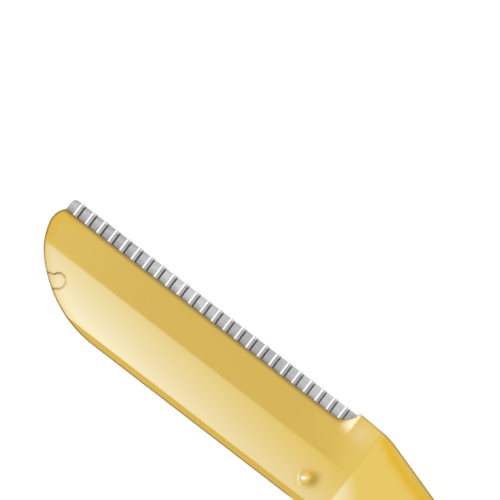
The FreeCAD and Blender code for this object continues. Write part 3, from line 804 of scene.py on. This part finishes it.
def dark_shade_share(head, tints, x, y, rim, to_lip, in_recess):
    """Painted dark shade: the most that the outline, lip, chamfer, crease, recess and nub have.

    Each falls straight or as a bell with the distance to its edge. The outline is stronger round the nose
    and the spine, and fades along the handle, on the wall and on the shoulder.
    """
    neck, edge = neck_place(head), shoulder_edge(head)
    behind = np.maximum(x - neck, 0.0)
    wall = on_wall(head, tints, x)
    shoulder = smooth((neck - x) / tints.shoulder_change + 0.5) * (x >= edge)
    by_spine = smooth((-tints.outer_low - y) / tints.outer_change) * (x < neck)
    outer = np.maximum(smooth(1 - x / tints.outer_reach), by_spine)
    drawn = tints.outline + tints.outer * outer
    drawn = drawn * ramp(rim, tints.line_reach, tints.outline_full + tints.outer_full * outer)
    drawn = drawn * (1 - tints.outline_fade * smooth((behind - tints.fade_start) / tints.fade_length))
    drawn = drawn * (1 - tints.wall_bare * wall - tints.shoulder_bare * shoulder)
    return np.maximum.reduce([
        drawn,
        tints.lip * ramp(to_lip, tints.lip_reach) * (1 - wall),
        tints.chamfer_line * on_chamfer(head, tints, x, y),
        tints.crease * bell(x - neck, tints.crease_reach) * (y > -tints.crease_low),
        tints.recess * ramp(np.abs(in_recess), tints.recess_reach, tints.recess_full),
        tints.mouth * ramp(rim, tints.line_reach, tints.mouth_full) * bell(in_recess, tints.mouth_reach),
        nub_tint(head, x, y, "line"),
    ])


def shell_stations(head, handle, grid):
    """Places along x of the cross rows: close at the nose's tip, the window's corner, the neck and the tail.

    Evenly spaced shares are raised to a power where rows crowd towards one end.
    """
    first = nose_arcs(head)[0][0][0] - head.tip_radius
    tail = neck_place(head) + handle.handle_length
    neck_end, round_start = neck_place(head) + grid.neck_margin, tail - handle.tail_round

    def even(start, stop, rows):
        return np.linspace(start, stop, rows, endpoint=False)

    into_nose = even(0, 1, grid.nose_rows) ** grid.nose_crowding
    into_corner = 1 - even(1, 0, grid.corner_rows) ** grid.corner_crowding
    before_tail = np.linspace(1, 0, grid.tail_rows) ** grid.tail_crowding
    return np.concatenate([
        blend(first, grid.nose_end, into_nose),
        even(grid.nose_end, grid.corner_start, grid.middle_rows),
        blend(grid.corner_start, head.window_length, into_corner),
        even(head.window_length, neck_end, grid.shoulder_rows),
        even(neck_end, round_start, grid.grip_rows),
        tail - handle.tail_round * before_tail,
    ])


def shell_grid(head, handle, tints, grid, side):
    """Points of one shell, rows along x by a closed loop round each section, and each point's colour shares.

    A loop runs up the spine-side wall, over the face to the edge-side wall, down it, and back under the
    blade's pocket. Across the face the points are closer together near the walls.
    """
    x = shell_stations(head, handle, grid)[:, None]
    top, low = outline(head, handle, x)
    step = np.linspace(0, 1, grid.face_columns)[None, :]
    y = blend(low, top, (step + smooth(step)) / 2)
    face_x = x + 0 * y
    z, rim, to_lip, in_recess = shell_height(head, handle, face_x, y, side > 0)

    inset = np.minimum(head.seam_bevel, head.seam_limit * (top - low))
    rise = np.minimum(head.seam_bevel, head.seam_limit * np.minimum(z[:, :1], z[:, -1:]))
    spine_wall = np.maximum(z[:, :1] - grid.wall_start, rise)
    edge_wall = np.maximum(z[:, -1:] - grid.wall_start, rise)
    pocket = (x > 0) & (x < head.window_length + head.pocket_length)
    pocket_z = np.where(pocket, np.minimum(head.half_pocket, rise), 0.0)
    behind_blade = blade_low[1] - head_origin[1] - head.pocket_fit
    back = np.where(pocket, np.maximum(behind_blade, low + inset), low + inset)
    none = 0 * x
    spine_y, spine_z = [low + inset, low, low], [none, rise, spine_wall]
    edge_y = [top, top, top - inset, top - inset, back, back]
    edge_z = [edge_wall, rise, none, pocket_z, pocket_z, none]
    loop_y, loop_z = np.hstack([*spine_y, y, *edge_y]), np.hstack([*spine_z, z, *edge_z])
    points = np.stack([x + 0 * loop_y, loop_y, side * loop_z], axis=-1)

    face = np.stack([
        lit_face_share(head, tints, face_x, y),
        warm_shade_share(head, tints, face_x, y, rim),
        highlight_share(head, tints, face_x, y, rim, in_recess),
        dark_shade_share(head, tints, face_x, y, rim, to_lip, in_recess),
    ], axis=-1)
    walls = face * wall_tints
    spine_side = walls[:, :1].repeat(len(spine_y), axis=1)
    edge_side = walls[:, -1:].repeat(len(edge_y), axis=1)
    return points, np.concatenate([spine_side, face, edge_side], axis=1)


def bar_grid(sizes, grid, x):
    """Points of a guard bar and the painted shade on each: its section along x, carried along a hairpin.

    The hairpin runs up the front face, over the cutting edge on a half circle and down the back face. The
    section is a flat foot on the blade, two sloping flanks and a top with two fine grooves.
    """
    leg = np.linspace(0, 1, grid.leg_steps, endpoint=False)
    turn = np.concatenate([0 * leg, np.linspace(0, np.pi, grid.turn_steps), 0 * leg + np.pi])[:, None]
    climb = np.concatenate([leg, np.ones(grid.turn_steps), leg[::-1]])[:, None]
    level = blend(-sizes.leg, sizes.bend_level, climb)
    across, height, painted_shade = bar_profile.T
    reach = half_blade + sizes.fit + sizes.thickness * height[None, :]
    points = np.stack([
        x + sizes.half_width * across[None, :] + 0 * turn,
        level + reach * np.sin(turn),
        reach * np.cos(turn),
    ], axis=-1)
    return points, np.broadcast_to(painted_shade, points.shape[:2])


def grid_mesh(name, points, sharp_columns=(), caps=False):
    """Mesh of a grid of points whose columns close into a loop; caps fills the first and last loops.

    Edges along the sharp columns, which are counted from the loop's end where negative, are kept sharp.
    """
    rows, columns = points.shape[:2]
    index = np.arange(rows * columns).reshape(rows, columns)
    beside = np.roll(index, -1, axis=1)
    quads = np.stack([index[:-1], beside[:-1], beside[1:], index[1:]], axis=-1).reshape(-1, 4)
    faces = quads.tolist()
    if caps:
        faces += [index[0][::-1].tolist(), index[-1].tolist()]
    mesh = bpy.data.meshes.new(name)
    mesh.from_pydata((points.reshape(-1, 3) + head_origin).tolist(), [], faces)
    mesh.polygons.foreach_set("use_smooth", np.ones(len(mesh.polygons), dtype=bool))
    if sharp_columns:
        ends = np.empty(len(mesh.edges) * 2, dtype=np.int32)
        mesh.edges.foreach_get("vertices", ends)
        column = (ends % columns).reshape(-1, 2)
        along = (column[:, 0] == column[:, 1]) & np.isin(column[:, 0], np.array(sharp_columns) % columns)
        sharp = mesh.attributes.new("sharp_edge", "BOOLEAN", "EDGE")
        sharp.data.foreach_set("value", along)
    return mesh


def add_marks(mesh, name, values):
    """Stores one number for each point of a mesh."""
    marks = mesh.attributes.new(name, "FLOAT", "POINT")
    marks.data.foreach_set("value", np.ascontiguousarray(values, dtype=np.float32).ravel())


def close_seams(mesh):
    """Merges points that coincide, and turns every face outwards."""
    work = bmesh.new()
    work.from_mesh(mesh)
    bmesh.ops.remove_doubles(work, verts=work.verts, dist=seam_gap)
    bmesh.ops.recalc_face_normals(work, faces=work.faces)
    work.to_mesh(mesh)
    work.free()


def add_piece(mesh, material, slot, *nodes):
    """Adds a mesh to the scene as a piece that rides on the razor and stands for the named nodes."""
    mesh.materials.append(material)
    piece = bpy.data.objects.new(mesh.name, mesh)
    bpy.context.scene.collection.objects.link(piece)
    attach(piece, "root")
    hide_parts(*nodes)
    return piece


class Wire:
    """A shader socket that Python's operators work on: each operation adds a Math node."""

    def __init__(self, sheet, socket):
        self.sheet = sheet
        self.socket = socket

    def math(self, operation, *values):
        return self.sheet.node("ShaderNodeMath", {"operation": operation}, dict(enumerate(values)))

    def __add__(self, other):
        return self.math("ADD", self, other)

    __radd__ = __add__

    def __sub__(self, other):
        return self.math("SUBTRACT", self, other)

    def __rsub__(self, other):
        return self.math("SUBTRACT", other, self)

    def __mul__(self, other):
        return self.math("MULTIPLY", self, other)

    __rmul__ = __mul__

    def __truediv__(self, other):
        return self.math("DIVIDE", self, other)

    def __rtruediv__(self, other):
        return self.math("DIVIDE", other, self)

    def __pow__(self, other):
        return self.math("POWER", self, other)

    def __rpow__(self, other):
        return self.math("POWER", other, self)

    def sine(self):
        """Sine of the value, in radians."""
        return self.math("SINE", self)

    def limited(self):
        """The value held between 0 and 1."""
        return self.sheet.node("ShaderNodeClamp", {}, {0: self, 1: 0.0, 2: 1.0})


class Sheet:
    """Nodes of one material or world."""

    def __init__(self, tree):
        self.tree = tree
        tree.nodes.clear()

    def node(self, kind, settings, sockets, output=0):
        """Adds a node: its settings are set first, then its sockets get their values or links."""
        made = self.tree.nodes.new(kind)
        for name, value in settings.items():
            setattr(made, name, value)
        for key, value in sockets.items():
            if isinstance(value, Wire):
                self.tree.links.new(value.socket, made.inputs[key])
            else:
                made.inputs[key].default_value = value
        return Wire(self, made.outputs[output]) if made.outputs else None

    def mixed(self, factor, first, second):
        """Mix of two colours, on the Mix node's colour sockets, 6 and 7, and its colour output, 2."""
        return self.node("ShaderNodeMix", {"data_type": "RGBA"}, {0: factor, 6: first, 7: second}, 2)

    def noise(self, place, scale, detail):
        """Noise value between 0 and 1 at a place."""
        return self.node("ShaderNodeTexNoise", {}, {"Vector": place, "Scale": scale, "Detail": detail})

    def place(self, stretch=(1.0, 1.0, 1.0)):
        """Object coordinates, stretched along the axes."""
        whole = self.node("ShaderNodeTexCoord", {}, {}, "Object")
        return self.node("ShaderNodeMapping", {}, {"Vector": whole, "Scale": stretch})

    def part(self, vector, axis):
        """One axis of a vector."""
        return self.node("ShaderNodeSeparateXYZ", {}, {0: vector}, axis)

    def mark(self, name):
        """The number that a mesh stores for each of its points."""
        return self.node("ShaderNodeAttribute", {"attribute_name": name}, {}, "Fac")

    def bump(self, height, strength, distance):
        """Surface direction of a height."""
        return self.node("ShaderNodeBump", {}, {"Height": height, "Strength": strength, "Distance": distance})

    def surface(self, **sockets):
        """Ends the material in a surface shader with those sockets."""
        named = {name.replace("_", " "): value for name, value in sockets.items()}
        shader = self.node("ShaderNodeBsdfPrincipled", {}, named)
        self.node("ShaderNodeOutputMaterial", {}, {"Surface": shader})


def new_material(name):
    """Empty material and its sheet."""
    material = bpy.data.materials.new(name)
    material.use_nodes = True
    return material, Sheet(material.node_tree)


def opaque(colour_value):
    """Colour with full opacity."""
    return (*colour_value, 1.0)


def spread_about(middle, spread, grain):
    """Value that a grain between 0 and 1 spreads evenly about a middle."""
    return middle - spread / 2 + spread * grain


def moulded_plastic(finishes):
    """Glossy yellow plastic.

    Its colour follows the shells' tints of painted light and shade, each laid over the last: a lighter lit
    copy, warm shade, highlights and dark shade lines, with faint flow clouds in the warm shade and a fine
    moulded skin.
    """
    material, sheet = new_material("moulded_plastic")
    clouds = sheet.noise(sheet.place((finishes.cloud_stretch, 1.0, 1.0)), finishes.cloud_scale, detail=3.0)
    skin = sheet.noise(sheet.place(), finishes.skin_scale, detail=2.0)
    # Painted light and shade from the shells' tints, laid over the body colour one after another.
    grip, warm_shade, painted_highlight, line = (sheet.mark(tint) for tint in tint_names)
    # The painted warm shade, with real flow clouds of the same deeper colour added.
    shade_and_clouds = (warm_shade + finishes.cloud_depth * clouds - finishes.cloud_depth / 2).limited()
    body = sheet.mixed(grip, opaque(finishes.plastic), opaque(finishes.plastic_lit_face))
    body = sheet.mixed(shade_and_clouds, body, opaque(finishes.plastic_flow_and_shade))
    body = sheet.mixed(painted_highlight, body, opaque(finishes.plastic_highlight))
    body = sheet.mixed(line, body, opaque(finishes.plastic_dark_shade))
    sheet.surface(
        Base_Color=body,
        Roughness=spread_about(finishes.plastic_roughness, finishes.plastic_spread, skin),
        Normal=sheet.bump(skin, finishes.skin_bump, finishes.skin_height))
    return material


def ground_steel(finishes):
    """Blade steel: fine grinding lines along the blade, with faint mottling.

    Painted shade darkens it beside the lip and at the handle's end, and painted reflection raises its tone
    towards the handle with a slow sine wave that sets in past the nose.
    """
    material, sheet = new_material("ground_steel")
    lines = sheet.noise(sheet.place((finishes.grind_stretch, 1.0, 1.0)), finishes.grind_scale, detail=3.0)
    mottle = sheet.noise(sheet.place(), finishes.mottle_scale, detail=3.0)
    above_lip = sheet.part(sheet.place(), "Y") - float(head_origin[1])
    along = sheet.part(sheet.place(), "X") - float(head_origin[0])
    # Painted reflection: a slow wave of bright and dark bays along the blade.
    wave = ((along - finishes.wave_start) * finishes.wave_turn).sine()
    grain = finishes.grind_tone * lines + finishes.mottle_tone * mottle
    # Painted shade beside the lip, over the real grinding lines and mottling.
    lit = above_lip / finishes.shade_height + grain - finishes.shade_start + finishes.shade_fall * along
    # Painted reflection: brighter past the nose and towards the handle.
    past_nose = (along / finishes.bright_reach).limited()
    more = (finishes.bright_more + finishes.wave_depth * wave) * past_nose
    bright = finishes.bright + more + finishes.bright_rise * along
    # Painted shade at the blade's end by the handle.
    at_end = ((along - finishes.end_start) / finishes.end_length).limited()
    tone = lit.limited() * bright * (1 - finishes.end_shade * at_end)
    sheet.surface(
        Base_Color=sheet.mixed(tone, opaque(finishes.steel_shade), opaque(finishes.steel)),
        Metallic=1.0,
        Roughness=spread_about(finishes.steel_roughness, finishes.steel_spread, lines),
        Normal=sheet.bump(lines + mottle, finishes.grind_bump, finishes.grind_height))
    return material


def drawn_steel(finishes):
    """Steel of the guard bars: drawn lines along each bar, with painted shade in the grooves and on the
    handle's side.
    """
    material, sheet = new_material("drawn_steel")
    stretch = (1.0, finishes.draw_stretch, finishes.draw_stretch)
    lines = sheet.noise(sheet.place(stretch), finishes.draw_scale, detail=2.0)
    dark = tuple(finishes.draw_tone * channel for channel in finishes.bar_steel)
    bright = sheet.mixed(lines, opaque(dark), opaque(finishes.bar_steel))
    sheet.surface(
        Base_Color=sheet.mixed(sheet.mark("shade"), bright, opaque(finishes.bar_shade)),
        Metallic=1.0,
        Roughness=spread_about(finishes.bar_roughness, finishes.bar_spread, lines),
        Normal=sheet.bump(lines, finishes.draw_bump, finishes.draw_height))
    return material


def pale_floor(stage):
    """Pale floor: white to the camera, to gloss and to glass, with a faint share that takes the shadow."""
    material, sheet = new_material("pale_floor")
    seen = ("Is Camera Ray", "Is Glossy Ray", "Is Transmission Ray")
    camera, gloss, glass = (sheet.node("ShaderNodeLightPath", {}, {}, name) for name in seen)
    shown = (camera + gloss + glass).limited()
    matt = sheet.node("ShaderNodeBsdfDiffuse", {}, {"Color": opaque(stage.floor)})
    white = sheet.node(
        "ShaderNodeEmission", {}, {"Color": (1.0, 1.0, 1.0, 1.0), "Strength": stage.floor_level})
    mix = sheet.node("ShaderNodeMixShader", {}, {0: stage.floor_shown * shown, 1: matt, 2: white})
    sheet.node("ShaderNodeOutputMaterial", {}, {"Surface": mix})
    return material


class RAZOR_OT_shells(bpy.types.Operator):
    """Builds the front and back shells of the head and handle"""

    bl_idname = "razor.shells"
    bl_label = "Shells"

    def execute(self, context):
        scene = context.scene
        material = moulded_plastic(scene.razor_finishes)
        for name, side in (("front_shell", 1), ("back_shell", -1)):
            points, tints = shell_grid(
                scene.razor_head, scene.razor_handle, scene.razor_tints, scene.razor_grid, side)
            mesh = grid_mesh(name + "_skin", points, seam_columns)
            for tint, values in zip(tint_names, np.moveaxis(tints, -1, 0)):
                add_marks(mesh, tint, values)
            close_seams(mesh)
            add_piece(mesh, material, "shell_plastic", name)
        return {"FINISHED"}


class RAZOR_OT_blade(bpy.types.Operator):
    """Finishes the blade"""

    bl_idname = "razor.blade"
    bl_label = "Blade"

    def execute(self, context):
        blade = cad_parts["blade"]
        blade.data.materials.clear()
        blade.data.materials.append(ground_steel(context.scene.razor_finishes))
        return {"FINISHED"}


class RAZOR_OT_guard_bars(bpy.types.Operator):
    """Builds the guard bars over the blade's edge"""

    bl_idname = "razor.guard_bars"
    bl_label = "Guard Bars"

    def execute(self, context):
        sizes = context.scene.razor_bars
        material = drawn_steel(context.scene.razor_finishes)
        for name in bar_names:
            low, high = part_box(name)
            x = (low[0] + high[0]) / 2 - head_origin[0]
            points, shade = bar_grid(sizes, context.scene.razor_grid, x)
            mesh = grid_mesh(name + "_wire", points, caps=True)
            add_marks(mesh, "shade", shade)
            close_seams(mesh)
            piece = add_piece(mesh, material, "guard_steel", name)
            split = piece.modifiers.new("crisp edges", "EDGE_SPLIT")
            split.split_angle = sizes.crisp_angle
        return {"FINISHED"}


class RAZOR_OT_stage(bpy.types.Operator):
    """Sets the floor, the lights and the camera"""

    bl_idname = "razor.stage"
    bl_label = "Stage"

    def execute(self, context):
        scene, stage = context.scene, context.scene.razor_stage
        middle = head_origin + np.array((stage.view_x, stage.view_y, 0.0))
        self.add_floor(stage)
        self.add_world(scene, stage)
        for name, tilt, bearing, side, power in (
                ("soft_key", stage.key_tilt, stage.key_bearing, stage.key_side, stage.key_power),
                ("low_side", stage.side_tilt, stage.side_bearing, stage.side_side, stage.side_power)):
            source = self.add_lamp(name, side, power)
            up, out = math.cos(tilt), polar(math.sin(tilt), bearing)
            source.location = middle + stage.lamp_distance * np.array((*out, up))
            source.rotation_euler = (0.0, tilt, bearing)
        self.add_camera(scene, stage, middle)
        scene.view_settings.view_transform = "Standard"
        return {"FINISHED"}

    def add_floor(self, stage):
        """Level square under the razor."""
        corners = stage.half_floor * np.array(((-1, -1, 0), (1, -1, 0), (1, 1, 0), (-1, 1, 0)))
        mesh = bpy.data.meshes.new("floor")
        mesh.from_pydata(corners.tolist(), [], [(0, 1, 2, 3)])
        mesh.materials.append(pale_floor(stage))
        floor = bpy.data.objects.new("floor", mesh)
        bpy.context.scene.collection.objects.link(floor)

    def add_world(self, scene, stage):
        """Plain light from all round.

        It is stronger beyond the cutting edge, with a soft panel at the blade's free end.
        """
        world = bpy.data.worlds.new("studio")
        world.use_nodes = True
        scene.world = world
        sheet = Sheet(world.node_tree)
        towards = sheet.node("ShaderNodeTexCoord", {}, {}, "Generated")
        along, above = sheet.part(towards, "X"), sheet.part(towards, "Y")
        panel = (0.0 - along).limited() ** stage.panel_power
        slant = 1 - stage.ambient_fall * along + stage.ambient_rise * above
        level = stage.ambient * (slant + stage.panel * panel)
        back = sheet.node("ShaderNodeBackground", {}, {"Color": (1.0, 1.0, 1.0, 1.0), "Strength": level})
        sheet.node("ShaderNodeOutputWorld", {}, {"Surface": back})

    def add_lamp(self, name, side, power):
        """Square soft light that the camera doesn't see."""
        lamp = bpy.data.lights.new(name, "AREA")
        lamp.shape = "SQUARE"
        lamp.size = side
        lamp.energy = power
        source = bpy.data.objects.new(name, lamp)
        bpy.context.scene.collection.objects.link(source)
        source.visible_camera = False
        return source

    def add_camera(self, scene, stage, middle):
        """Camera straight above the middle of the view, at the distance that fills the frame."""
        lens = bpy.data.cameras.new("camera")
        lens.lens = stage.lens
        lens.sensor_width = stage.sensor
        lens.clip_start, lens.clip_end = stage.nearest, stage.farthest
        camera = bpy.data.objects.new("camera", lens)
        scene.collection.objects.link(camera)
        distance = stage.frame_side * lens.lens / lens.sensor_width
        camera.location = middle + np.array((0.0, 0.0, stage.view_level + distance))
        camera.rotation_euler = (0.0, 0.0, stage.view_turn)
        scene.camera = camera


class RAZOR_PT_parts(bpy.types.Panel):
    """Lists the razor's pieces in the sidebar"""

    bl_idname = "RAZOR_PT_parts"
    bl_label = "Eyebrow Razor"
    bl_space_type = "VIEW_3D"
    bl_region_type = "UI"
    bl_category = "Razor"

    def draw(self, context):
        for operator in operators:
            self.layout.operator(operator.bl_idname)


groups = {
    "razor_head": HeadSizes,
    "razor_handle": HandleSizes,
    "razor_bars": BarSizes,
    "razor_grid": GridSettings,
    "razor_tints": Tints,
    "razor_finishes": Finishes,
    "razor_stage": StageSettings,
}
operators = (RAZOR_OT_shells, RAZOR_OT_blade, RAZOR_OT_guard_bars, RAZOR_OT_stage)


def register():
    for made in (*groups.values(), *operators, RAZOR_PT_parts):
        bpy.utils.register_class(made)
    for name, group in groups.items():
        setattr(bpy.types.Scene, name, bpy.props.PointerProperty(type=group))


def unregister():
    for name in groups:
        delattr(bpy.types.Scene, name)
    for made in reversed((*groups.values(), *operators, RAZOR_PT_parts)):
        bpy.utils.unregister_class(made)


def main():
    register()
    bpy.ops.razor.shells()
    bpy.ops.razor.blade()
    bpy.ops.razor.guard_bars()
    bpy.ops.razor.stage()


if __name__ == "__main__":
    main()
